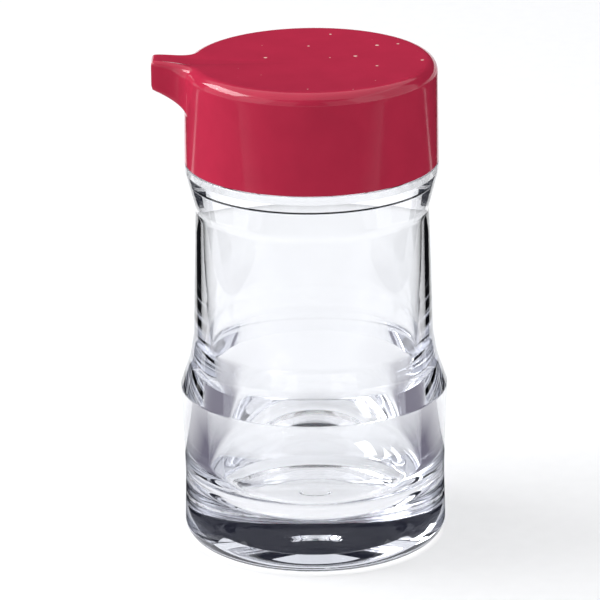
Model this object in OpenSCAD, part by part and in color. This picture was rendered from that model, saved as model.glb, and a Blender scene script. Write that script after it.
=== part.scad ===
// Soy sauce dispenser: clear waisted bottle, red cap with a pouring spout,
// and the inner stopper and packing ring that carry the cap in the neck.
// Units are millimetres. The bottle stands on z = 0, its axis is Z, the spout points to -X.

/* [Bottle] */
// Height of the step that the cap stands over
bottle_h = 93.6; // [84:0.1:105]
// Diameter of the collar, flush with the cap
collar_d = 60; // [54:0.1:70]
// Height of the straight band of the collar
collar_band = 1.8; // [0.8:0.1:4]
// Height of the flare between waist and collar band
collar_flare = 9.2; // [6:0.1:14]
// Waist diameter under the collar
waist_top_d = 55.3; // [48:0.1:58]
// Waist diameter above the shoulder
waist_low_d = 57.25; // [50:0.1:60]
// Height of the shoulder crease
shoulder_z = 37.9; // [28:0.1:48]
// Height of the shoulder between crease and waist
shoulder_h = 12.7; // [8:0.1:18]
// Diameter of the body at the shoulder crease
shoulder_d = 63.9; // [58:0.1:76]
// Rounding of the shoulder crease
shoulder_r = 1.6; // [0.5:0.1:4]
// Diameter of the foot
foot_d = 63.2; // [56:0.1:74]
// Rounding of the foot
foot_r = 3.8; // [1:0.1:6]
// How far the body draws in between foot and shoulder
body_draw_in = 0.45; // [0:0.05:1]
// Width of the ring that the bottle stands on
foot_ring = 2.4; // [1.5:0.1:6]
// Depth of the hollow under the base
recess_h = 1.5; // [1.2:0.1:3]
// Width of the sloping edge of the hollow
recess_edge = 10.4; // [3:0.1:14]
// Diameter of the gate boss in the middle of the hollow
gate_d = 8.4; // [4:0.1:12]
// Height of the gate boss
gate_h = 0.7; // [0.2:0.05:1]
// Height of the cavity floor
floor_z = 10; // [8:0.1:18]
// Radius of the bowl between cavity floor and wall
bowl_r = 12; // [6:0.1:20]
// Wall thickness under the collar
wall = 1.55; // [1.1:0.05:3]
// How far the cavity narrows from the collar to the floor
cavity_draft = 0.3; // [0.2:0.1:3]

/* [Neck] */
// Height of the neck above the collar
neck_h = 11.8; // [8:0.1:16]
// Wall thickness of the neck
neck_wall = 0.9; // [0.7:0.1:2.5]
// Depth of the ledge in the neck below the collar top
ledge_depth = 4; // [2:0.1:7]
// Gap between neck and cap
neck_gap = 0.3; // [0.2:0.05:0.6]

/* [Cap] */
// Height of the cap
cap_h = 24.1; // [18:0.1:30]
// Gap between cap and collar
cap_gap = 0.3; // [0.1:0.05:0.6]
// Draft of the skirt, on the radius
cap_draft = 0.25; // [0:0.05:0.6]
// Wall thickness of the skirt
cap_wall = 1.8; // [1.4:0.1:2.4]
// Thickness of the lid
lid_t = 2.0; // [1.4:0.1:3]
// Rounding of the lid's edge
lid_edge = 2.8; // [1:0.1:4]
// How far the lid's middle lies below its rim
lid_dish = 0.6; // [0:0.1:1]

/* [Spout] */
// Reach of the spout's tip from the cap's axis
spout_reach = 37.3; // [34:0.1:44]
// Width of the spout at its tip
spout_tip_w = 6.8; // [6.4:0.1:10]
// Taper of each side of the spout, in degrees
spout_taper = 9; // [0:0.5:16]
// Height of the spout's tip
spout_tip_h = 6.4; // [6:0.1:9]
// Height of the spout where its underside meets the skirt
spout_root_h = 11.6; // [9:0.1:15]
// How far the tip rises above the lid
spout_rise = 0.9; // [0:0.1:2]
// Rounding of the spout's upper edges
spout_edge = 1.0; // [0.4:0.1:1.6]
// Width of the blend between spout and skirt
spout_blend = 9; // [4:0.1:12]
// Width and height of the passage through the spout
passage = 4.5; // [4.3:0.1:5]

/* [Inner stopper] */
// Depth of the plug below the neck's rim
plug_depth = 9.6; // [6:0.1:11]
// Wall thickness of the plug
plug_wall = 1.8; // [1.6:0.1:2.6]
// Gap between plug and neck bore
plug_gap = 0.3; // [0.15:0.05:0.5]
// Thickness of the web that holds the pouring hole
web_t = 1.2; // [0.8:0.1:2]
// How far the web lies above the neck's rim
web_lift = 1.4; // [0.4:0.1:2]
// Height of the ring that the cap turns on, above the web
turret_h = 2.0; // [1.7:0.1:3]
// Diameter of the pouring hole
pour_d = 9; // [7:0.1:12]
// Diameter of the air hole
air_d = 3; // [2:0.1:4]
// Distance of both holes from the axis
hole_off = 16.5; // [12:0.1:20]
// Radius of the bead that holds the cap
bead_r = 0.5; // [0.3:0.05:0.7]

/* [Packing ring] */
// Height of the ring
ring_h = 1.8; // [1.2:0.1:2.6]
// Thickness of the ring
ring_t = 1.1; // [0.8:0.05:1.4]
// Gap between ring and neck bore
ring_gap = 0.05; // [0.02:0.01:0.15]

/* [Hidden] */
// Steps of an arc, and of the cap's skin round the axis
arc_n = 12;
skin_n = 96;
$fn = 96;

collar_r = collar_d / 2;
waist_top_r = waist_top_d / 2;
waist_low_r = waist_low_d / 2;
body_r = shoulder_d / 2;
base_r = foot_d / 2;
recess_r = base_r - foot_r - foot_ring;
draw_z = shoulder_z * 0.42;
waist_top_z = bottle_h - collar_band - collar_flare;
waist_low_z = shoulder_z + shoulder_h;
cap_r = collar_r;
cap_in_r = cap_r - cap_draft - cap_wall + 0.2;
neck_r = cap_in_r - neck_gap;
bore_r = neck_r - neck_wall;
cavity_r = waist_top_r - wall;
cavity_low_r = cavity_r - cavity_draft;
rim_z = bottle_h + neck_h;
ledge_z = bottle_h - ledge_depth;

cap_z = bottle_h + cap_gap;
lid_z = cap_z + cap_h;
lid_r = cap_r - cap_draft;
lid_under = lid_z - lid_dish - lid_t;
skin_r = cap_r - cap_draft * 0.7;
tip_under = lid_z - spout_tip_h;
root_under = lid_z - spout_root_h;
passage_z = tip_under + 0.9;

web_z = rim_z + web_lift;
plug_r = bore_r - plug_gap;
plug_in_r = plug_r - plug_wall;
plug_z = rim_z - plug_depth;
turret_r = cap_in_r - neck_gap;
turret_in_r = turret_r - 1.5;
turret_z = web_z + web_t + turret_h;
bead_z = turret_z - bead_r - 0.5;
ring_r = bore_r - ring_gap;
ring_z = rim_z - plug_depth / 2 - ring_h / 2;
groove_r = ring_r - ring_t - 0.05;

// Points of an arc round c
function arc(c, r, a0, a1, n = arc_n) =
  [for (i = [0:n]) let (a = a0 + (a1 - a0) * i / n) c + r * [cos(a), sin(a)]];

function unit(v) = v / norm(v);
function turn(v) = atan2(v[1], v[0]);
function wrap(a) = a - 360 * floor((a + 180) / 360);

// Arc of radius r that rounds the corner b of the line a-b-c
function corner(a, b, c, r) =
  let (u = unit(a - b), v = unit(c - b), h = acos(u * v) / 2)
  let (m = b + unit(u + v) * r / sin(h), s = b + u * r / tan(h), e = b + v * r / tan(h))
  let (a0 = turn(s - m), sweep = wrap(turn(e - m) - a0))
  arc(m, r, a0, a0 + sweep);

// Outline of points [x, z, rounding] with its corners rounded
function rounded(p) =
  [for (i = [0:len(p) - 1]) each
    p[i][2] > 0 && i > 0 && i < len(p) - 1
      ? corner(xy(p[i - 1]), xy(p[i]), xy(p[i + 1]), p[i][2])
      : [xy(p[i])]];
function xy(q) = [q[0], q[1]];

// Radius whose arc takes the length t of both lines at the corner b
function bend_r(a, b, c, t) = t * tan(acos(unit(a - b) * unit(c - b)) / 2);

// Hollow under the base: flat with a sloping edge, and the gate boss in its middle
recess = [
  [0, recess_h - gate_h, 0],
  [gate_d / 2 - gate_h * 0.85, recess_h - gate_h, 0.1],
  [gate_d / 2, recess_h, 0.1],
  [recess_r - recess_edge, recess_h, 1.5],
  [recess_r, 0, 1]];
draw_r = bend_r([base_r, 0], [base_r - body_draw_in, draw_z], [body_r, shoulder_z], shoulder_z * 0.06);

function bottle_outside() = rounded(concat(recess, [
  [base_r, 0, foot_r],
  [base_r - body_draw_in, draw_z, draw_r],
  [body_r, shoulder_z, shoulder_r],
  [waist_low_r + (body_r - waist_low_r) * 0.3, shoulder_z + shoulder_h * 0.53, shoulder_h],
  [waist_low_r, waist_low_z, shoulder_h],
  [waist_top_r, waist_top_z, collar_flare],
  [collar_r, bottle_h - collar_band, 0.5],
  [collar_r, bottle_h, 0.3],
  [neck_r, bottle_h, 0],
  [neck_r, rim_z, 0.4],
  [bore_r, rim_z, 0]]));

function bottle_inside() = rounded([
  [bore_r, rim_z, 0],
  [bore_r, ledge_z, 0],
  [cavity_r, ledge_z - 0.6, 0.3],
  [cavity_low_r, floor_z, bowl_r],
  [0, floor_z, 0]]);

module bottle() {
  color([0.90, 0.94, 0.98, 0.35])
  rotate_extrude($fn = 192)
  polygon(concat(bottle_outside(), bottle_inside()));
}

// Larger or smaller of two values, blended over the width k
function smax(p, q, k) = max(p, q) + pow(max(k - abs(p - q), 0), 2) / (4 * k);
function smin(p, q, k) = -smax(-p, -q, k);

// How far an edge of radius r has drawn in at height z below the lid
function edge_in(r, z) = z <= lid_z - r ? 0 : r - sqrt(max(r * r - pow(z - lid_z + r, 2), 0));

// Radius of the round cap at height z
function round_r(z) = cap_r - cap_draft * (z - cap_z) / cap_h - edge_in(lid_edge, z);

// Reach of the spout at height z: its tip, or its underside where that is nearer
function under_r(z) =
  skin_r - spout_blend
    + (spout_reach - skin_r + spout_blend) * (z - root_under) / (tip_under - root_under);
function reach_r(z) = smin(spout_reach, under_r(z), 1.2) - edge_in(spout_edge, z);

// Distance of the spout's side from the axis, at the angle a from its line
function side_r(a, z) =
  (spout_tip_w / 2 - edge_in(spout_edge, z) + spout_reach * tan(spout_taper))
    / (sin(abs(a)) + cos(a) * tan(spout_taper));

// Cap's skin: the round cap and the spout as one blended form
function cap_skin(a, z) =
  abs(a) > 60
    ? round_r(z)
    : smax(round_r(z), smin(reach_r(z) / cos(a), side_r(a, z), 1.2), spout_blend);

// Rise of the spout towards its tip
function ease(t) = let (s = min(max(t, 0), 1)) s * s * (3 - 2 * s);
function rise(x, z) =
  spout_rise * ease((x - skin_r + lid_edge) / (spout_reach - skin_r + lid_edge))
    * min(max((z - root_under) / (lid_z - root_under), 0), 1);

function skin_point(a, z) =
  let (r = cap_skin(a, z))
  [-r * cos(a), r * sin(a), z + rise(r * cos(a), z)];

// Angles lie closer together at the spout
skin_angles = [for (i = [0:skin_n - 1])
  let (t = 2 * i / skin_n - 1) 180 * sign(t) * pow(abs(t), 1.6)];
skin_heights = concat(
  [cap_z, cap_z + 4, root_under - 3],
  [for (i = [0:8]) root_under + (tip_under - root_under) * i / 8],
  [tip_under + 0.7, tip_under + 1.6, lid_z - lid_edge],
  [for (i = [1:6]) lid_z - lid_edge * (1 - sin(15 * i))]);

// Lid rings draw in towards its dished middle
lid_steps = [0.7, 0.35];
function lid_ring(k) = [for (a = skin_angles)
  let (p = skin_point(a, lid_z)) [p[0] * k, p[1] * k, lid_z - lid_dish * (1 - k * k)]];

skin_rings = concat(
  [for (z = skin_heights) [for (a = skin_angles) skin_point(a, z)]],
  [for (k = lid_steps) lid_ring(k)]);

module cap_form() {
  last = (len(skin_rings) - 1) * skin_n;
  top = len(skin_rings) * skin_n;
  polyhedron(
    points = concat([for (ring = skin_rings) each ring], [[0, 0, lid_z - lid_dish]]),
    faces = concat(
      [[for (i = [0:skin_n - 1]) i]],
      [for (j = [0:len(skin_rings) - 2]) for (i = [0:skin_n - 1])
        let (k = (i + 1) % skin_n)
        each [[j * skin_n + i, j * skin_n + skin_n + i, j * skin_n + k],
          [j * skin_n + k, j * skin_n + skin_n + i, j * skin_n + skin_n + k]]],
      [for (i = [0:skin_n - 1]) [last + i, top, last + (i + 1) % skin_n]]));
}

module cap_hollow() {
  rotate_extrude($fn = 192)
  polygon(rounded([
    [0, cap_z - 1, 0], [cap_in_r, cap_z - 1, 0], [cap_in_r, lid_under, 1.5], [0, lid_under, 0]]));
  rotate_extrude($fn = 192)
  translate([cap_in_r - 0.1, bead_z])
  circle(r = bead_r + 0.35, $fn = 32);
}

module spout_passage() {
  translate([-spout_reach - 1, -passage / 2, passage_z])
  cube([spout_reach + 1 - cap_in_r + 1.2, passage, passage]);
}

module cap() {
  color([0.66, 0.10, 0.18])
  difference() {
    cap_form();
    cap_hollow();
    spout_passage();
  }
}

module inner_stopper() {
  color([0.93, 0.93, 0.90])
  difference() {
    union() {
      rotate_extrude($fn = 192)
      polygon([
        [plug_in_r, plug_z], [plug_r - 0.6, plug_z], [plug_r, plug_z + 1.2],
        [plug_r, ring_z - 0.05], [groove_r, ring_z - 0.05],
        [groove_r, ring_z + ring_h + 0.05], [plug_r, ring_z + ring_h + 0.05],
        [plug_r, rim_z], [turret_r, rim_z], [turret_r, turret_z - 0.4],
        [turret_r - 0.4, turret_z], [turret_in_r, turret_z], [turret_in_r, web_z + web_t],
        [0, web_z + web_t], [0, web_z], [plug_in_r, web_z]]);
      rotate_extrude($fn = 192)
      translate([turret_r - 0.05, bead_z])
      circle(r = bead_r, $fn = 32);
    }
    translate([-hole_off, 0, web_z - 1])
    cylinder(d = pour_d, h = web_t + 2);
    translate([hole_off, 0, web_z - 1])
    cylinder(d = air_d, h = web_t + 2, $fn = 48);
  }
}

module packing_ring() {
  color([0.86, 0.88, 0.86])
  rotate_extrude($fn = 192)
  polygon([
    [ring_r - ring_t, ring_z], [ring_r - 0.35, ring_z], [ring_r, ring_z + ring_h / 3],
    [ring_r, ring_z + ring_h * 2 / 3], [ring_r - 0.35, ring_z + ring_h],
    [ring_r - ring_t, ring_z + ring_h]]);
}

bottle();
cap();
inner_stopper();
packing_ring();
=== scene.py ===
"""Soy sauce dispenser: clear waisted bottle, red cap with a pouring spout, stopper and packing ring."""
import math
from types import SimpleNamespace

import bpy
from mathutils import Matrix, Vector


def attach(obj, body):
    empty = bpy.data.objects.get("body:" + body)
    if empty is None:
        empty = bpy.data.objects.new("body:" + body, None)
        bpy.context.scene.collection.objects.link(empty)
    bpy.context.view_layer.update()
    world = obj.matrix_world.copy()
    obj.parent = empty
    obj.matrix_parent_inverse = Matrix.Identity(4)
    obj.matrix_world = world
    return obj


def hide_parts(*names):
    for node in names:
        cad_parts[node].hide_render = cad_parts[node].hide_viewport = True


bl_info = {
    "name": "Soy Sauce Dispenser",
    "version": (1, 0, 0),
    "blender": (4, 5, 0),
    "location": "View3D > Sidebar > Dispenser",
    "description": "Builds the pieces and materials of a clear soy sauce dispenser with a red spouted cap",
    "category": "Add Mesh",
}

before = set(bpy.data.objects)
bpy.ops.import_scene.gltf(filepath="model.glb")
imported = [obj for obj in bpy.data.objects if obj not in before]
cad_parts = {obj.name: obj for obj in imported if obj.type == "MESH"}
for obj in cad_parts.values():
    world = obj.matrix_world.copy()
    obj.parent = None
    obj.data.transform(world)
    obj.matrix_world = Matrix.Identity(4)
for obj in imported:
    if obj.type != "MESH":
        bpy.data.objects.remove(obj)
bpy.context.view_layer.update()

MM = 0.001

# Distance within which points are merged, and length under which edges are dissolved
MERGE = 0.002 * MM
SLIVER = 0.001 * MM

# Largest angle that is smoothed over, on spun and on cut pieces
SPUN_ANGLE = math.radians(28)
CUT_ANGLE = math.radians(32)


# Geometry helpers

def arc(centre, r, a0, a1, n):
    """Points of an arc round centre, angles in radians."""
    return [centre + r * Vector((math.cos(a0 + (a1 - a0) * i / n), math.sin(a0 + (a1 - a0) * i / n)))
            for i in range(n + 1)]


def corner(a, b, c, r, n):
    """Arc of radius r that rounds the corner b of the line a-b-c."""
    u = (a - b).normalized()
    v = (c - b).normalized()
    half = u.angle(v) / 2
    middle = b + (u + v).normalized() * (r / math.sin(half))
    start = b + u * (r / math.tan(half)) - middle
    end = b + v * (r / math.tan(half)) - middle
    a0 = math.atan2(start.y, start.x)
    sweep = (math.atan2(end.y, end.x) - a0 + math.pi) % (2 * math.pi) - math.pi
    return arc(middle, r, a0, a0 + sweep, n)


def rounded(points, n):
    """Outline of (radius, height, rounding) in mm, with n steps round each of its corners."""
    flat = [Vector((p[0], p[1])) for p in points]
    out = []
    for i, p in enumerate(points):
        if p[2] > 0 and 0 < i < len(points) - 1:
            out += corner(flat[i - 1], flat[i], flat[i + 1], p[2], n)
        else:
            out.append(flat[i])
    return out


def fresh():
    """Object mode with nothing selected."""
    if bpy.context.mode != "OBJECT":
        bpy.ops.object.mode_set(mode="OBJECT")
    bpy.ops.object.select_all(action="DESELECT")


def choose(piece):
    """Object mode with only this piece selected, as the active one."""
    fresh()
    piece.select_set(True)
    bpy.context.view_layer.objects.active = piece


def edit_all():
    """Edit mode with the whole mesh selected."""
    bpy.ops.object.mode_set(mode="EDIT")
    bpy.ops.mesh.select_all(action="SELECT")


def lathe(name, outline, steps):
    """Draws an outline (radius, height in mm) by extruding a vertex, and spins it round Z."""
    fresh()
    bpy.ops.mesh.primitive_plane_add(size=2 * MM, location=(0, 0, 0))
    piece = bpy.context.object
    piece.name = name
    bpy.ops.object.mode_set(mode="EDIT")
    bpy.ops.mesh.select_mode(type="VERT")
    bpy.ops.mesh.select_all(action="SELECT")
    bpy.ops.mesh.merge(type="CENTER")
    here = Vector((0, 0))
    for i, p in enumerate(outline):
        step = ((p.x - here.x) * MM, 0, (p.y - here.y) * MM)
        if i == 0:
            bpy.ops.transform.translate(value=step)
        else:
            bpy.ops.mesh.extrude_region_move(TRANSFORM_OT_translate={"value": step})
        here = p
    bpy.ops.mesh.select_all(action="SELECT")
    bpy.ops.mesh.spin(steps=steps, angle=2 * math.pi, use_auto_merge=True, center=(0, 0, 0), axis=(0, 0, 1))
    bpy.ops.mesh.select_all(action="SELECT")
    bpy.ops.mesh.remove_doubles(threshold=MERGE)
    bpy.ops.mesh.dissolve_degenerate(threshold=SLIVER)
    bpy.ops.mesh.normals_make_consistent(inside=False)
    bpy.ops.object.mode_set(mode="OBJECT")
    bpy.ops.object.shade_smooth_by_angle(angle=SPUN_ANGLE)
    return piece


def cut(piece, tool):
    """Cuts tool out of piece and removes it."""
    choose(piece)
    hole = piece.modifiers.new("cut", "BOOLEAN")
    hole.operation = "DIFFERENCE"
    hole.solver = "EXACT"
    hole.object = tool
    bpy.ops.object.modifier_apply(modifier=hole.name)
    bpy.data.objects.remove(tool)


def settle(piece):
    """Cleans a cut mesh and smooths its faces."""
    choose(piece)
    edit_all()
    bpy.ops.mesh.remove_doubles(threshold=MERGE)
    bpy.ops.mesh.normals_make_consistent(inside=False)
    bpy.ops.object.mode_set(mode="OBJECT")
    bpy.ops.object.shade_smooth_by_angle(angle=CUT_ANGLE)


def place(piece, body, solid, finish):
    """Gives the piece its body, the solid it stands for and its finish."""
    piece.data.materials.clear()
    piece.data.materials.append(finish)
    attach(piece, body)
    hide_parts(solid)


# Stage values that the materials share, with lengths in metres

# The table's glow: a painted pool of light under the foot, seen only through the clear base, the even glow
# elsewhere, and the radii between which the painted pool fades out
PAINTED_GLOW_FOOT = 0.95
GLOW_TABLE = 0.56
PAINTED_GLOW_EDGE = (0.0290, 0.0312)

# Where the grey cards' painted shade starts, is full, starts to fade and ends, going outwards and going to
# the rear
PAINTED_SHADE_OUTWARDS = (0.033, 0.041, 0.080, 0.118)
PAINTED_SHADE_REARWARDS = (-0.040, -0.012, 0.030, 0.084)

# Front and rear end of the fading cards' change between their painted dark reflections and pale
FADE = (-0.34, -0.04)


# Material helpers

def fill(made, sockets):
    """Sets a node's sockets by name, with underscores for spaces."""
    for key, value in sockets.items():
        made.inputs[key.replace("_", " ")].default_value = value


def material(name, **sockets):
    """A material with one Principled shader, its node tree and that shader."""
    mat = bpy.data.materials.new(name)
    mat.use_nodes = True
    tree = mat.node_tree
    shader = tree.nodes["Principled BSDF"]
    fill(shader, sockets)
    return mat, tree, shader


def node(tree, kind, **sockets):
    """A node with its sockets set by name."""
    made = tree.nodes.new(kind)
    fill(made, sockets)
    return made


def position(tree):
    """Object coordinates of the point that is shaded."""
    return node(tree, "ShaderNodeTexCoord").outputs["Object"]


def axes(tree, vector):
    """The X, Y and Z of a vector."""
    made = node(tree, "ShaderNodeSeparateXYZ")
    tree.links.new(vector, made.inputs["Vector"])
    return made.outputs


def noise(tree, scale, detail, roughness=0.5):
    """Noise in object space, with features of about 1/scale metres."""
    made = node(tree, "ShaderNodeTexNoise", Scale=scale, Detail=detail, Roughness=roughness)
    tree.links.new(position(tree), made.inputs["Vector"])
    return made.outputs["Fac"]


def math_node(tree, operation, first, second=0):
    """A product, difference or other operation on values."""
    made = node(tree, "ShaderNodeMath")
    made.operation = operation
    for socket, value in zip(made.inputs, (first, second)):
        if isinstance(value, (int, float)):
            socket.default_value = value
        else:
            tree.links.new(value, socket)
    return made.outputs["Value"]


def spread(tree, source, low, high, start=0.0, end=1.0):
    """Maps a value from start..end to low..high."""
    made = node(tree, "ShaderNodeMapRange", From_Min=start, From_Max=end, To_Min=low, To_Max=high)
    tree.links.new(source, made.inputs["Value"])
    return made.outputs["Result"]


def plateau(tree, source, start, full, fade, end):
    """Rises from nought to one between start and full, and falls again between fade and end."""
    rise = spread(tree, source, 0, 1, start, full)
    fall = spread(tree, source, 1, 0, fade, end)
    return math_node(tree, "MULTIPLY", rise, fall)


def ramp(tree, source, stops):
    """Colour ramp from a value, with stops of (position, colour)."""
    made = node(tree, "ShaderNodeValToRGB")
    line = made.color_ramp
    while len(line.elements) < len(stops):
        line.elements.new(0.5)
    for element, (at, colour) in zip(line.elements, stops):
        element.position = at
        element.color = (*colour, 1)
    tree.links.new(source, made.inputs["Fac"])
    return made.outputs["Color"]


def between(low, high):
    """Ramp stops for a noise that wanders between two colours."""
    return [(0.3, low), (0.7, high)]


def shades(colour, share):
    """Ramp stops from a share of a colour to the colour itself."""
    return between([part * share for part in colour], colour)


def coloured(tree, shader, grain, stops):
    """Base colour that follows a noise."""
    colour = ramp(tree, grain, stops)
    tree.links.new(colour, shader.inputs["Base Color"])
    return colour


def worn(tree, shader, grain, low, high, start=0.3, end=0.7):
    """Roughness that follows a noise, from low to high."""
    tree.links.new(spread(tree, grain, low, high, start, end), shader.inputs["Roughness"])


def bump(tree, shader, height, strength, distance):
    """Bump from a height into the shader's normal."""
    made = node(tree, "ShaderNodeBump", Strength=strength, Distance=distance)
    tree.links.new(height, made.inputs["Height"])
    tree.links.new(made.outputs["Normal"], shader.inputs["Normal"])


# Finishes of the pieces

def clear_plastic(tint):
    """Polished clear plastic with the faint flow waves and fine wear of a moulding."""
    mat, tree, shader = material("clear_plastic", IOR=1.57, Transmission_Weight=1.0)
    coloured(tree, shader, noise(tree, 60, 2), shades(tint, 0.985))
    worn(tree, shader, noise(tree, 900, 4, 0.65), 0.0, 0.02, 0.45, 0.75)
    bump(tree, shader, noise(tree, 45, 1), 0.06, 0.2 * MM)
    depth = node(tree, "ShaderNodeVolumeAbsorption", Color=(0.73, 0.75, 0.82, 1), Density=15.0)
    tree.links.new(depth.outputs["Volume"], tree.nodes["Material Output"].inputs["Volume"])
    return mat


def dust(tree):
    """One on a few small specks where faces look up, nought elsewhere."""
    cells = node(tree, "ShaderNodeTexVoronoi", Scale=190)
    cells.voronoi_dimensions = "2D"
    tree.links.new(position(tree), cells.inputs["Vector"])
    pick = node(tree, "ShaderNodeSeparateColor")
    tree.links.new(cells.outputs["Color"], pick.inputs["Color"])
    reach = spread(tree, pick.outputs["Red"], 0.0, 0.10, 0.72, 1.0)
    inside = math_node(tree, "SUBTRACT", reach, cells.outputs["Distance"])
    speck = spread(tree, inside, 0, 1, 0.0, 0.03)
    normal = axes(tree, node(tree, "ShaderNodeNewGeometry").outputs["Normal"])
    upward = spread(tree, normal["Z"], 0, 1, 0.5, 0.9)
    return math_node(tree, "MULTIPLY", speck, upward)


def red_plastic(red):
    """Glossy red plastic with slight mottling, soft orange peel and a few specks of dust on its lid."""
    mat, tree, shader = material("red_plastic", IOR=1.5, Specular_IOR_Level=0.32)
    dusted = node(tree, "ShaderNodeMix")
    dusted.data_type = "RGBA"
    dusted.inputs["B"].default_value = (0.72, 0.48, 0.42, 1)
    tree.links.new(dust(tree), dusted.inputs["Factor"])
    tree.links.new(ramp(tree, noise(tree, 140, 3), shades(red, 0.92)), dusted.inputs["A"])
    tree.links.new(dusted.outputs["Result"], shader.inputs["Base Color"])
    worn(tree, shader, noise(tree, 500, 4, 0.6), 0.06, 0.13)
    bump(tree, shader, noise(tree, 260, 2), 0.05, 0.05 * MM)
    return mat


def white_plastic(white):
    """Translucent white plastic with a fine matt grain."""
    mat, tree, shader = material("white_plastic", IOR=1.51, Subsurface_Weight=0.25, Subsurface_Scale=2 * MM)
    coloured(tree, shader, noise(tree, 180, 3), shades(white, 0.93))
    grain = noise(tree, 2600, 3, 0.6)
    worn(tree, shader, grain, 0.34, 0.52)
    bump(tree, shader, grain, 0.08, 0.03 * MM)
    return mat


def packing_rubber(silicone):
    """Translucent silicone with a soft, slightly dusty surface."""
    mat, tree, shader = material("packing_rubber", IOR=1.41, Subsurface_Weight=0.3, Subsurface_Scale=1 * MM)
    coloured(tree, shader, noise(tree, 400, 3), shades(silicone, 0.90))
    grain = noise(tree, 3500, 2)
    worn(tree, shader, grain, 0.5, 0.68)
    bump(tree, shader, grain, 0.1, 0.03 * MM)
    return mat


# Finishes of the stage

def pale_floor():
    """Plain pale light table with a trace of grain, and a painted pool of light under the foot."""
    mat, tree, shader = material("pale_floor", Specular_IOR_Level=0.1)
    grain = noise(tree, 220, 4, 0.6)
    coloured(tree, shader, grain, between((0.34, 0.345, 0.355), (0.36, 0.365, 0.375)))
    worn(tree, shader, grain, 0.7, 0.85, 0.0, 1.0)
    reach = node(tree, "ShaderNodeVectorMath")
    reach.operation = "LENGTH"
    tree.links.new(position(tree), reach.inputs[0])
    # Painted pool of light: the glow is stronger under the foot, where it shows only through the clear base
    table_glow_and_painted_pool = spread(tree, reach.outputs["Value"], PAINTED_GLOW_FOOT, GLOW_TABLE, *PAINTED_GLOW_EDGE)
    tree.links.new(table_glow_and_painted_pool, shader.inputs["Emission Strength"])
    return mat


def pale_backdrop():
    """Low pale strip that closes the light table at the back."""
    mat, tree, shader = material("pale_backdrop", Specular_IOR_Level=0.1, Emission_Strength=0.9)
    colour = coloured(tree, shader, noise(tree, 40, 3), between((0.80, 0.80, 0.81), (0.84, 0.84, 0.85)))
    tree.links.new(colour, shader.inputs["Emission Color"])
    return mat


def dark_card():
    """Black card, hidden from the camera, that paints dark lines into the clear walls and dark reflections
    into the gloss.
    """
    mat, tree, shader = material("dark_card", Specular_IOR_Level=0.0)
    coloured(tree, shader, noise(tree, 300, 3), between((0.010, 0.010, 0.013), (0.014, 0.014, 0.017)))
    return mat


def painted_shade_card():
    """Glowing card, seen only through the clear walls, that paints soft lavender grey shade into the thick
    walls of the shoulder and base.
    """
    mat, tree, shader = material("painted_shade_card", Base_Color=(0.02, 0.02, 0.02, 1), Specular_IOR_Level=0.0,
                                 Emission_Strength=1.0)
    at = axes(tree, position(tree))
    aside = math_node(tree, "ABSOLUTE", at["X"])
    outwards = plateau(tree, aside, *PAINTED_SHADE_OUTWARDS)
    rearwards = plateau(tree, at["Y"], *PAINTED_SHADE_REARWARDS)
    depth = math_node(tree, "MULTIPLY", outwards, rearwards)
    # Painted shade: lavender grey where both plateaus are full, glowing as pale as the table at the card's
    # edges
    colour = ramp(tree, depth, [(0.0, (0.95, 0.95, 0.97)), (1.0, (0.160, 0.148, 0.205))])
    tree.links.new(colour, shader.inputs["Emission Color"])
    return mat


def painted_reflection_card():
    """Glowing card, seen only in the gloss, that paints dark reflections near the foot and far to the front,
    and turns as pale as the table between them.
    """
    mat, tree, shader = material("painted_reflection_card", Base_Color=(0.01, 0.01, 0.01, 1), Roughness=0.9,
                                 Specular_IOR_Level=0.0, Emission_Strength=1.0)
    dark = (0.004, 0.004, 0.005)
    pale = (0.9, 0.9, 0.92)
    along = spread(tree, axes(tree, position(tree))["Y"], 0, 1, *FADE)
    # Painted reflection: dark far to the front and near the foot, pale between
    colour = ramp(tree, along, [(0.26, dark), (0.56, pale), (0.70, pale), (0.96, dark)])
    tree.links.new(colour, shader.inputs["Emission Color"])
    return mat


# Sizes

def size(label, text, value):
    """A length property whose default is given in millimetres."""
    return bpy.props.FloatProperty(name=label, description=text, default=value * MM, min=0.0, precision=4,
                                   subtype="DISTANCE", unit="LENGTH")


def angle(label, text, degrees):
    """An angle property whose default is given in degrees."""
    return bpy.props.FloatProperty(name=label, description=text, default=math.radians(degrees),
                                   subtype="ANGLE", unit="ROTATION")


def tone(label, text, value):
    """A colour property."""
    return bpy.props.FloatVectorProperty(name=label, description=text, default=value, min=0.0, max=1.0,
                                         size=3, subtype="COLOR")


def in_mm(group):
    """The values of a group, with its lengths in millimetres."""
    values = {}
    for key in type(group).__annotations__:
        value = getattr(group, key)
        values[key] = value / MM if group.bl_rna.properties[key].unit == "LENGTH" else value
    return SimpleNamespace(**values)


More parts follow.
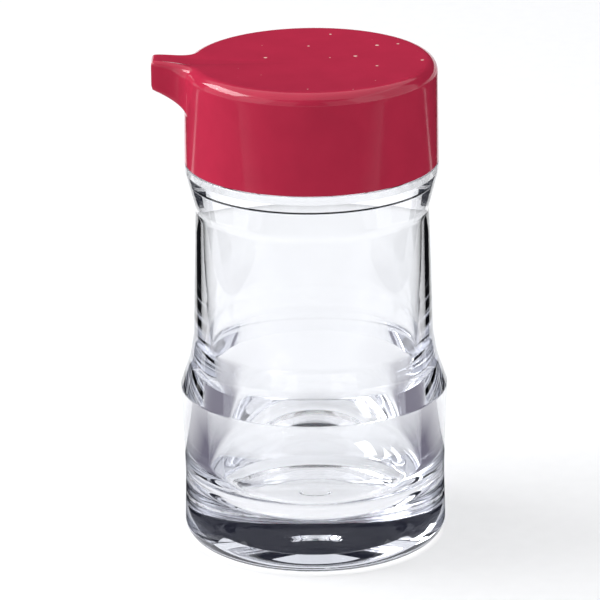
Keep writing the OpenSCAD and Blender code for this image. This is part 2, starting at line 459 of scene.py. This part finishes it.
class SOY_PG_bottle(bpy.types.PropertyGroup):
    """Sizes and tint of the bottle."""
    height: size("Height", "Height of the step that the cap stands over", 93.6)
    collar_r: size("Collar radius", "Radius of the collar, flush with the cap", 30.0)
    collar_band: size("Collar band", "Height of the straight band of the collar", 1.8)
    collar_flare: size("Collar flare", "Height of the flare between waist and collar band", 9.2)
    waist_top_r: size("Waist top radius", "Radius of the waist under the collar", 27.65)
    waist_low_r: size("Waist low radius", "Radius of the waist above the shoulder", 28.625)
    shoulder_z: size("Shoulder crease", "Height of the shoulder crease", 37.9)
    shoulder_h: size("Shoulder height", "Height between crease and waist", 12.7)
    body_r: size("Body radius", "Radius of the body at the crease", 31.95)
    crease_r: size("Crease rounding", "Rounding of the shoulder crease", 1.6)
    foot_r: size("Foot radius", "Radius of the foot", 31.6)
    foot_round: size("Foot rounding", "Rounding of the foot", 3.8)
    draw_in: size("Draw-in", "How far the body draws in between foot and shoulder", 0.45)
    foot_ring: size("Foot ring", "Width of the ring that the bottle stands on", 2.4)
    recess_h: size("Recess depth", "Depth of the hollow under the base", 1.5)
    recess_edge: size("Recess edge", "Width of the sloping edge of the hollow", 10.4)
    gate_r: size("Gate radius", "Radius of the gate boss in the middle of the hollow", 4.2)
    gate_h: size("Gate height", "Height of the gate boss", 0.7)
    floor_z: size("Floor", "Height of the cavity floor", 10.0)
    bowl_r: size("Bowl radius", "Radius between cavity floor and wall", 12.0)
    cavity_r: size("Cavity radius", "Radius of the cavity under the collar", 26.1)
    cavity_low_r: size("Cavity low radius", "Radius of the cavity at its floor", 25.8)
    neck_h: size("Neck height", "Height of the neck above the collar", 11.8)
    neck_r: size("Neck radius", "Outer radius of the neck", 27.85)
    bore_r: size("Bore radius", "Inner radius of the neck", 26.95)
    ledge: size("Ledge depth", "Depth of the ledge below the collar top", 4.0)
    tint: tone("Tint", "Tint of the clear plastic", (0.974, 0.979, 0.988))


class SOY_PG_cap(bpy.types.PropertyGroup):
    """Sizes and colour of the cap with its spout."""
    bottom: size("Bottom", "Height of the skirt's lower edge", 93.9)
    height: size("Height", "Height of the cap", 24.1)
    radius: size("Radius", "Radius of the skirt at its lower edge", 30.0)
    draft: size("Draft", "Draft of the skirt on the radius", 0.25)
    inner_r: size("Inner radius", "Radius of the hollow", 28.15)
    lid_t: size("Lid", "Thickness of the lid", 2.0)
    lid_edge: size("Lid edge", "Rounding of the lid's edge", 2.8)
    lid_dish: size("Lid dish", "How far the lid's middle lies below its rim", 0.6)
    reach: size("Reach", "Reach of the spout's tip from the axis", 37.3)
    tip_w: size("Tip width", "Width of the spout at its tip", 6.8)
    taper: angle("Taper", "Taper of each side of the spout", 9)
    tip_h: size("Tip height", "Height of the spout's tip", 6.4)
    root_h: size("Root height", "Height of the spout where it meets the skirt", 11.6)
    rise: size("Rise", "How far the tip rises above the lid", 0.9)
    edge: size("Edge", "Rounding of the spout's upper edges", 1.0)
    blend: size("Blend", "Width of the blend between spout and skirt", 9.0)
    passage: size("Passage", "Width and height of the passage through the spout", 4.5)
    bead_z: size("Groove height", "Height of the groove that the stopper's bead sits in", 109.0)
    groove_r: size("Groove radius", "Radius of that groove's section", 0.85)
    red: tone("Red", "Colour of the cap", (0.390, 0.021, 0.052))


class SOY_PG_stopper(bpy.types.PropertyGroup):
    """Sizes and colours of the stopper and the packing ring."""
    rim_z: size("Rim", "Height of the neck's rim", 105.4)
    plug_z: size("Plug end", "Height of the plug's lower end", 95.8)
    plug_r: size("Plug radius", "Outer radius of the plug", 26.65)
    plug_in_r: size("Plug inner radius", "Inner radius of the plug", 24.85)
    groove_r: size("Groove radius", "Radius of the groove's floor", 25.75)
    ring_z: size("Ring height", "Height of the packing ring's lower face", 99.7)
    ring_h: size("Ring width", "Height of the packing ring", 1.8)
    ring_r: size("Ring radius", "Outer radius of the packing ring", 26.9)
    ring_t: size("Ring thickness", "Thickness of the packing ring", 1.1)
    web_lift: size("Web lift", "How far the web lies above the neck's rim", 1.4)
    web_t: size("Web", "Thickness of the web", 1.2)
    turret_z: size("Turret top", "Height of the turret's upper edge", 110.0)
    turret_r: size("Turret radius", "Outer radius of the turret", 27.85)
    turret_in_r: size("Turret inner radius", "Inner radius of the turret", 26.35)
    bead_r: size("Bead", "Radius of the bead that holds the cap", 0.5)
    hole_off: size("Hole offset", "Distance of both holes from the axis", 16.5)
    pour_r: size("Pouring hole", "Radius of the pouring hole", 4.5)
    air_r: size("Air hole", "Radius of the air hole", 1.5)
    white: tone("White", "Colour of the stopper", (0.86, 0.87, 0.85))
    silicone: tone("Silicone", "Colour of the packing ring", (0.78, 0.80, 0.79))


class SOY_PG_stage(bpy.types.PropertyGroup):
    """Camera and backdrop of the studio."""
    elevation: angle("Elevation", "Height of the view above the horizon", 19.3)
    distance: size("Distance", "Distance from the camera to the point looked at", 1050)
    target_z: size("Target height", "Height of the point looked at", 57)
    roll: angle("Roll", "Roll of the camera", 0.62)
    lens: bpy.props.FloatProperty(name="Lens", description="Focal length in millimetres", default=263.9,
                                  subtype="DISTANCE_CAMERA", unit="CAMERA")
    shift_x: bpy.props.FloatProperty(name="Shift X", description="Sideways shift of the frame",
                                     default=-0.0222)
    shift_y: bpy.props.FloatProperty(name="Shift Y", description="Upward shift of the frame",
                                     default=0.0088)
    backdrop_h: size("Backdrop", "Height of the strip behind the table", 280)


# Pieces

class SOY_OT_bottle(bpy.types.Operator):
    """Spin the clear bottle with its cavity, neck and hollow base"""
    bl_idname = "soy.bottle"
    bl_label = "Bottle"

    def execute(self, context):
        b = in_mm(context.scene.soy_bottle)
        rim = b.height + b.neck_h
        band = b.height - b.collar_band
        ledge = b.height - b.ledge
        ledge_fall = 0.6
        recess_r = b.foot_r - b.foot_round - b.foot_ring
        gate_z = b.recess_h - b.gate_h
        gate_lean = b.gate_h * 0.85
        draw_z = b.shoulder_z * 0.42
        draw_round = 60
        knee_r = b.waist_low_r + (b.body_r - b.waist_low_r) * 0.3
        knee_z = b.shoulder_z + b.shoulder_h * 0.53
        outside = [
            (0, gate_z, 0),
            (b.gate_r - gate_lean, gate_z, 0.1),
            (b.gate_r, b.recess_h, 0.1),
            (recess_r - b.recess_edge, b.recess_h, 1.5),
            (recess_r, 0, 1),
            (b.foot_r, 0, b.foot_round),
            (b.foot_r - b.draw_in, draw_z, draw_round),
            (b.body_r, b.shoulder_z, b.crease_r),
            (knee_r, knee_z, b.shoulder_h),
            (b.waist_low_r, b.shoulder_z + b.shoulder_h, b.shoulder_h),
            (b.waist_top_r, band - b.collar_flare, b.collar_flare),
            (b.collar_r, band, 0.5),
            (b.collar_r, b.height, 0.3),
            (b.neck_r, b.height, 0),
            (b.neck_r, rim, 0.4),
            (b.bore_r, rim, 0),
        ]
        inside = [
            (b.bore_r, ledge, 0),
            (b.cavity_r, ledge - ledge_fall, 0.3),
            (b.cavity_low_r, b.floor_z, b.bowl_r),
            (0, b.floor_z, 0),
        ]
        piece = lathe("clear_bottle", rounded(outside + inside, 14), 256)
        place(piece, "bottle", "bottle", clear_plastic(b.tint))
        return {"FINISHED"}


class SOY_OT_cap(bpy.types.Operator):
    """Shape the red cap's skin with its blended spout, hollow it and open the passage"""
    bl_idname = "soy.cap"
    bl_label = "Cap"

    # Columns of the skin and how closely they crowd at the spout, and the angle past which the skirt is bare
    columns = 300
    crowding = 1.6
    spout_half = math.radians(60)

    def execute(self, context):
        c = in_mm(context.scene.soy_cap)
        lid_z = c.bottom + c.height
        skin_r = c.radius - 0.7 * c.draft
        tip_under = lid_z - c.tip_h
        root_under = lid_z - c.root_h
        under_start = root_under - 1
        tip_blend = 1.2

        def smax(p, q, k):
            """The larger of two values, blended where they differ by less than k."""
            return max(p, q) + max(k - abs(p - q), 0) ** 2 / (4 * k)

        def smin(p, q, k):
            """The smaller of two values, blended in the same way."""
            return -smax(-p, -q, k)

        def edge_in(r, z):
            """How far an edge of radius r along the lid draws the skin in."""
            return 0 if z <= lid_z - r else r - math.sqrt(max(r * r - (z - lid_z + r) ** 2, 0))

        def skin(a, z):
            """Distance of the skin from the axis at the angle a from the spout's line."""
            bare = c.radius - c.draft * (z - c.bottom) / c.height - edge_in(c.lid_edge, z)
            if abs(a) > self.spout_half:
                return bare
            slope = (z - root_under) / (tip_under - root_under)
            under = skin_r - c.blend + (c.reach - skin_r + c.blend) * slope
            tip = smin(c.reach, under, tip_blend) - edge_in(c.edge, z)
            side = ((c.tip_w / 2 - edge_in(c.edge, z) + c.reach * math.tan(c.taper))
                    / (math.sin(abs(a)) + math.cos(a) * math.tan(c.taper)))
            return smax(bare, smin(tip / math.cos(a), side, tip_blend), c.blend)

        def rise(x, z):
            """How far the skin lifts towards the tip."""
            t = min(max((x - skin_r + c.lid_edge) / (c.reach - skin_r + c.lid_edge), 0), 1)
            return c.rise * t * t * (3 - 2 * t) * min(max((z - root_under) / (lid_z - root_under), 0), 1)

        def point(a, z, k=1.0):
            """Point of the skin, or of the lid where k draws it in to the axis."""
            r = skin(a, z)
            x = r * math.cos(a)
            top = z + rise(x, z) if k == 1.0 else lid_z - c.lid_dish * (1 - k * k) + rise(x * k, z)
            return Vector((-x * k, r * k * math.sin(a), top)) * MM

        def climb(low, high, steps):
            """Heights from low up to high, without high itself."""
            return [low + (high - low) * i / steps for i in range(steps)]

        n = self.columns
        angles = []
        for i in range(n):
            t = 2 * i / n - 1
            angles.append(math.copysign(math.pi * abs(t) ** self.crowding, t))
        heights = climb(c.bottom, under_start, 6)
        heights += climb(under_start, tip_under, 18)
        heights += climb(tip_under, lid_z - c.lid_edge, 5)
        heights += [lid_z - c.lid_edge * (1 - math.sin(math.radians(6 * i))) for i in range(16)]
        drawn = [0.985, 0.96, 0.92, 0.85, 0.7, 0.5, 0.3, 0.15]
        rings = [[point(a, z) for a in angles] for z in heights]
        rings += [[point(a, lid_z, k) for a in angles] for k in drawn]

        # An open tube of even rings is extruded from a circle, then its rings are laid on the skin
        fresh()
        bpy.ops.mesh.primitive_circle_add(vertices=n, radius=c.radius * MM, fill_type="NOTHING",
                                          location=(0, 0, 0))
        piece = bpy.context.object
        piece.name = "red_cap"
        bpy.ops.object.mode_set(mode="EDIT")
        bpy.ops.mesh.select_mode(type="EDGE")
        bpy.ops.mesh.select_all(action="SELECT")
        for _ in rings[1:]:
            bpy.ops.mesh.extrude_region_move(TRANSFORM_OT_translate={"value": (0, 0, MM)})
        bpy.ops.object.mode_set(mode="OBJECT")
        for v in piece.data.vertices:
            i = round(math.atan2(v.co.y, v.co.x) / (2 * math.pi / n)) % n
            v.co = rings[round(v.co.z / MM)][i]
        bpy.ops.object.mode_set(mode="EDIT")
        bpy.ops.mesh.extrude_region_move(TRANSFORM_OT_translate={"value": (0, 0, 0)})
        bpy.ops.mesh.merge(type="CENTER")
        bpy.ops.object.mode_set(mode="OBJECT")

        # The hollow is spun, joined on and bridged to the skirt's lower edge
        under = lid_z - c.lid_dish - c.lid_t
        sunk = 0.1
        half = math.acos(sunk / c.groove_r)
        hollow = [Vector((c.inner_r, c.bottom))]
        hollow += arc(Vector((c.inner_r - sunk, c.bead_z)), c.groove_r, -half, half, 12)
        hollow += corner(hollow[-1], Vector((c.inner_r, under)), Vector((0, under)), 1.5, 8)
        hollow.append(Vector((0, under)))
        inner = lathe("hollow", hollow, n)
        choose(piece)
        inner.select_set(True)
        bpy.ops.object.join()
        bpy.ops.object.mode_set(mode="EDIT")
        bpy.ops.mesh.select_mode(type="EDGE")
        bpy.ops.mesh.select_all(action="DESELECT")
        bpy.ops.mesh.select_non_manifold(extend=False)
        bpy.ops.mesh.bridge_edge_loops()
        bpy.ops.mesh.select_all(action="SELECT")
        bpy.ops.mesh.normals_make_consistent(inside=False)
        bpy.ops.object.mode_set(mode="OBJECT")

        # The passage is a square channel over a sill, from beyond the tip into the hollow
        fresh()
        beyond = 1
        into = 1.2
        sill = 0.9
        length = c.reach + beyond - c.inner_r + into
        middle = tip_under + sill + c.passage / 2
        bpy.ops.mesh.primitive_cube_add(size=1, location=(0, 0, 0))
        tool = bpy.context.object
        edit_all()
        bpy.ops.transform.resize(value=(length * MM, c.passage * MM, c.passage * MM))
        bpy.ops.transform.translate(value=((length / 2 - c.reach - beyond) * MM, 0, middle * MM))
        bpy.ops.object.mode_set(mode="OBJECT")
        cut(piece, tool)
        settle(piece)
        place(piece, "cap", "cap", red_plastic(c.red))
        return {"FINISHED"}


class SOY_OT_stopper(bpy.types.Operator):
    """Spin the stopper with its groove, web and turret, and cut its two holes"""
    bl_idname = "soy.stopper"
    bl_label = "Stopper"

    def execute(self, context):
        s = in_mm(context.scene.soy_stopper)
        sunk = 0.05
        half = math.acos(sunk / s.bead_r)
        brim = 0.5
        bead_z = s.turret_z - s.bead_r - brim
        web = s.rim_z + s.web_lift
        web_top = web + s.web_t
        play = 0.05
        low = s.ring_z - play
        high = s.ring_z + s.ring_h + play
        lead_r = s.plug_r - 0.6
        lead_z = s.plug_z + 1.2
        outline = rounded([
            (0, web, 0),
            (s.plug_in_r, web, 0.3),
            (s.plug_in_r, s.plug_z, 0.3),
            (lead_r, s.plug_z, 0.2),
            (s.plug_r, lead_z, 0.5),
            (s.plug_r, low, 0.1),
            (s.groove_r, low, 0),
            (s.groove_r, high, 0),
            (s.plug_r, high, 0.1),
            (s.plug_r, s.rim_z, 0),
            (s.turret_r, s.rim_z, 0.2),
            (s.turret_r, bead_z - s.bead_r - 0.2, 0),
        ], 4)
        outline += arc(Vector((s.turret_r - sunk, bead_z)), s.bead_r, -half, half, 10)
        outline += rounded([
            (s.turret_r, s.turret_z - 0.45, 0),
            (s.turret_r - 0.4, s.turret_z, 0.2),
            (s.turret_in_r, s.turret_z, 0.2),
            (s.turret_in_r, web_top, 0.4),
            (0, web_top, 0),
        ], 4)
        piece = lathe("white_stopper", outline, 192)
        for x, r in ((-s.hole_off, s.pour_r), (s.hole_off, s.air_r)):
            fresh()
            bpy.ops.mesh.primitive_cylinder_add(vertices=64, radius=r * MM, depth=(s.web_t + 2) * MM,
                                                location=(x * MM, 0, (web + s.web_t / 2) * MM))
            cut(piece, bpy.context.object)
        settle(piece)
        place(piece, "stopper", "inner_stopper", white_plastic(s.white))
        return {"FINISHED"}


class SOY_OT_ring(bpy.types.Operator):
    """Spin the packing ring in the stopper's groove"""
    bl_idname = "soy.ring"
    bl_label = "Packing ring"

    def execute(self, context):
        s = in_mm(context.scene.soy_stopper)
        inner = s.ring_r - s.ring_t
        shoulder = s.ring_r - 0.35
        top = s.ring_z + s.ring_h
        middle = s.ring_z + s.ring_h / 2
        outline = rounded([
            (inner, middle, 0),
            (inner, s.ring_z, 0.1),
            (shoulder, s.ring_z, 0.2),
            (s.ring_r, s.ring_z + s.ring_h / 3, 0.3),
            (s.ring_r, s.ring_z + s.ring_h * 2 / 3, 0.3),
            (shoulder, top, 0.2),
            (inner, top, 0.1),
            (inner, middle, 0),
        ], 4)
        piece = lathe("silicone_ring", outline, 192)
        place(piece, "stopper", "packing_ring", packing_rubber(s.silicone))
        return {"FINISHED"}


# Cards on the floor in metres: name, inner and outer edge, front and rear edge, whether they show through
# the clear walls, and finish. Those with no inner edge lie across the middle, the others left and right.
# Every card is hidden from the camera and paints shade or reflections that show only in the gloss or through
# the clear walls
CARDS = (
    ("card", PAINTED_SHADE_OUTWARDS[0], PAINTED_SHADE_OUTWARDS[3], PAINTED_SHADE_REARWARDS[0], 0.085, True, painted_shade_card),
    ("card_strip", 0.108, 0.200, 0.085, 0.22, True, dark_card),
    ("card_low", 0.102, 0.15, 0.050, 0.085, True, dark_card),
    ("card_foot", None, 0.11, -0.14, -0.034, False, painted_reflection_card),
    ("card_foot", 0.033, 0.11, -0.034, 0.05, False, dark_card),
    ("card_front", None, 0.9, -0.90, -0.17, False, painted_reflection_card),
    ("card_outer", 0.24, 0.9, -0.24, 0.21, False, dark_card),
    ("card_rear", 0.14, 0.9, 0.225, 0.45, False, dark_card),
)

# Height of the grey cards, and of the others, which lie over them
GREY_LIFT = 0.2 * MM
CARD_LIFT = 0.3 * MM

# Lamps: name, place, point aimed at, width and depth in metres, and watts
LAMPS = (
    ("overhead", (0, 0.2, 1.2), (0, 0.2, 0), 2.2, 2.2, 16),
    ("key", (-0.85, 0.12, 0.74), (0, 0, 0.11), 0.9, 0.42, 13),
    ("left", (-0.9, -0.4, 0.5), (0, -0.4, 0.25), 1.5, 1.1, 5),
    ("right", (0.9, -0.4, 0.5), (0, -0.4, 0.25), 1.5, 1.1, 5),
    ("front_left", (-0.95, -1.1, 0.5), (0, 0, 0.2), 1.5, 1.2, 4),
    ("front_right", (0.95, -1.1, 0.5), (0, 0, 0.2), 1.5, 1.2, 4),
)

# Side of the floor, width of the backdrop and its distance behind the bottle, in metres
FLOOR_W = 6
BACKDROP_W = 9.0
BACKDROP_Y = 2.4

# How often light may bounce, in all and off gloss: with fewer the corners of the clear walls go black
BOUNCES = 22
GLOSS_BOUNCES = 12

SKY = (0.016, 0.017, 0.028, 1)
SENSOR_MM = 36


class SOY_OT_stage(bpy.types.Operator):
    """Lay the floor, hang the lights and set up the camera"""
    bl_idname = "soy.stage"
    bl_label = "Stage"

    def lamp(self, name, at, aim, width, depth, watts):
        """A soft area light hung at one point and aimed at another."""
        fresh()
        bpy.ops.object.light_add(type="AREA", location=at)
        light = bpy.context.object
        light.name = name
        light.rotation_euler = (Vector(aim) - Vector(at)).to_track_quat("-Z", "Y").to_euler()
        light.data.energy = watts
        light.data.shape = "RECTANGLE"
        light.data.size = width
        light.data.size_y = depth

    def card(self, name, left, right, front, rear, through, finish):
        """A card on the floor that shows only in the gloss or through the clear walls."""
        fresh()
        bpy.ops.mesh.primitive_plane_add(size=1, location=(0, 0, 0))
        card = bpy.context.object
        card.name = name
        lift = GREY_LIFT if finish is painted_shade_card else CARD_LIFT
        edit_all()
        bpy.ops.transform.resize(value=(right - left, rear - front, 1))
        bpy.ops.transform.translate(value=((left + right) / 2, (front + rear) / 2, lift))
        bpy.ops.object.mode_set(mode="OBJECT")
        card.data.materials.append(bpy.data.materials.get(finish.__name__) or finish())
        card.visible_camera = False
        card.visible_diffuse = False
        card.visible_shadow = False
        card.visible_transmission = through
        card.visible_glossy = finish is not painted_shade_card

    def floor(self):
        """The light table that the bottle stands on."""
        fresh()
        bpy.ops.mesh.primitive_plane_add(size=FLOOR_W, location=(0, 0, 0))
        floor = bpy.context.object
        floor.name = "floor"
        floor.data.materials.append(pale_floor())

    def backdrop(self, height):
        """The low strip behind the table."""
        fresh()
        bpy.ops.mesh.primitive_plane_add(size=1, location=(0, 0, 0), rotation=(math.pi / 2, 0, 0))
        backdrop = bpy.context.object
        backdrop.name = "backdrop"
        bpy.ops.object.transform_apply(location=False, rotation=True, scale=False)
        edit_all()
        bpy.ops.transform.resize(value=(BACKDROP_W, 1, height))
        bpy.ops.transform.translate(value=(0, BACKDROP_Y, height / 2))
        bpy.ops.object.mode_set(mode="OBJECT")
        backdrop.data.materials.append(pale_backdrop())

    def light(self, scene):
        """The lamps, the dim surroundings and the bounces of light."""
        for lamp in LAMPS:
            self.lamp(*lamp)
        scene.cycles.max_bounces = BOUNCES
        scene.cycles.glossy_bounces = GLOSS_BOUNCES
        scene.cycles.transmission_bounces = BOUNCES
        world = bpy.data.worlds.new("studio")
        scene.world = world
        world.use_nodes = True
        fill(world.node_tree.nodes["Background"], {"Color": SKY, "Strength": 1.0})
        scene.view_settings.view_transform = "Standard"

    def camera(self, scene):
        """The camera, looking at the bottle from the front and a little above."""
        s = scene.soy_stage
        fresh()
        bpy.ops.object.camera_add(location=(0, 0, 0))
        camera = bpy.context.object
        camera.name = "camera"
        back = Vector((0, -math.cos(s.elevation), math.sin(s.elevation)))
        at = Vector((0, 0, s.target_z)) + back * s.distance
        camera.matrix_world = (Matrix.Translation(at) @ (-back).to_track_quat("-Z", "Y").to_matrix().to_4x4()
                               @ Matrix.Rotation(-s.roll, 4, "Z"))
        camera.data.lens = s.lens
        camera.data.sensor_width = SENSOR_MM
        camera.data.shift_x = s.shift_x
        camera.data.shift_y = s.shift_y
        camera.data.dof.use_dof = False
        scene.camera = camera

    def execute(self, context):
        self.floor()
        for name, inner, outer, *rest in CARDS:
            if inner is None:
                self.card(name, -outer, outer, *rest)
            else:
                self.card(name + "_left", -outer, -inner, *rest)
                self.card(name + "_right", inner, outer, *rest)
        self.backdrop(context.scene.soy_stage.backdrop_h)
        self.light(context.scene)
        self.camera(context.scene)
        return {"FINISHED"}


class SOY_PT_panel(bpy.types.Panel):
    """Sizes and steps of the dispenser"""
    bl_idname = "SOY_PT_panel"
    bl_label = "Soy Sauce Dispenser"
    bl_space_type = "VIEW_3D"
    bl_region_type = "UI"
    bl_category = "Dispenser"

    def draw(self, context):
        for step, group in STEPS:
            self.layout.operator(step.bl_idname)
            if group:
                sizes = getattr(context.scene, group)
                column = self.layout.column(align=True)
                for key in type(sizes).__annotations__:
                    column.prop(sizes, key)


GROUPS = {
    "soy_bottle": SOY_PG_bottle,
    "soy_cap": SOY_PG_cap,
    "soy_stopper": SOY_PG_stopper,
    "soy_stage": SOY_PG_stage,
}
STEPS = (
    (SOY_OT_bottle, "soy_bottle"),
    (SOY_OT_cap, "soy_cap"),
    (SOY_OT_stopper, "soy_stopper"),
    (SOY_OT_ring, None),
    (SOY_OT_stage, "soy_stage"),
)


def register():
    for name, group in GROUPS.items():
        bpy.utils.register_class(group)
        setattr(bpy.types.Scene, name, bpy.props.PointerProperty(type=group))
    for step, _ in STEPS:
        bpy.utils.register_class(step)
    bpy.utils.register_class(SOY_PT_panel)


def unregister():
    bpy.utils.unregister_class(SOY_PT_panel)
    for step, _ in reversed(STEPS):
        bpy.utils.unregister_class(step)
    for name, group in reversed(list(GROUPS.items())):
        delattr(bpy.types.Scene, name)
        bpy.utils.unregister_class(group)


def main():
    register()
    bpy.ops.soy.bottle()
    bpy.ops.soy.cap()
    bpy.ops.soy.stopper()
    bpy.ops.soy.ring()
    bpy.ops.soy.stage()


if __name__ == "__main__":
    main()
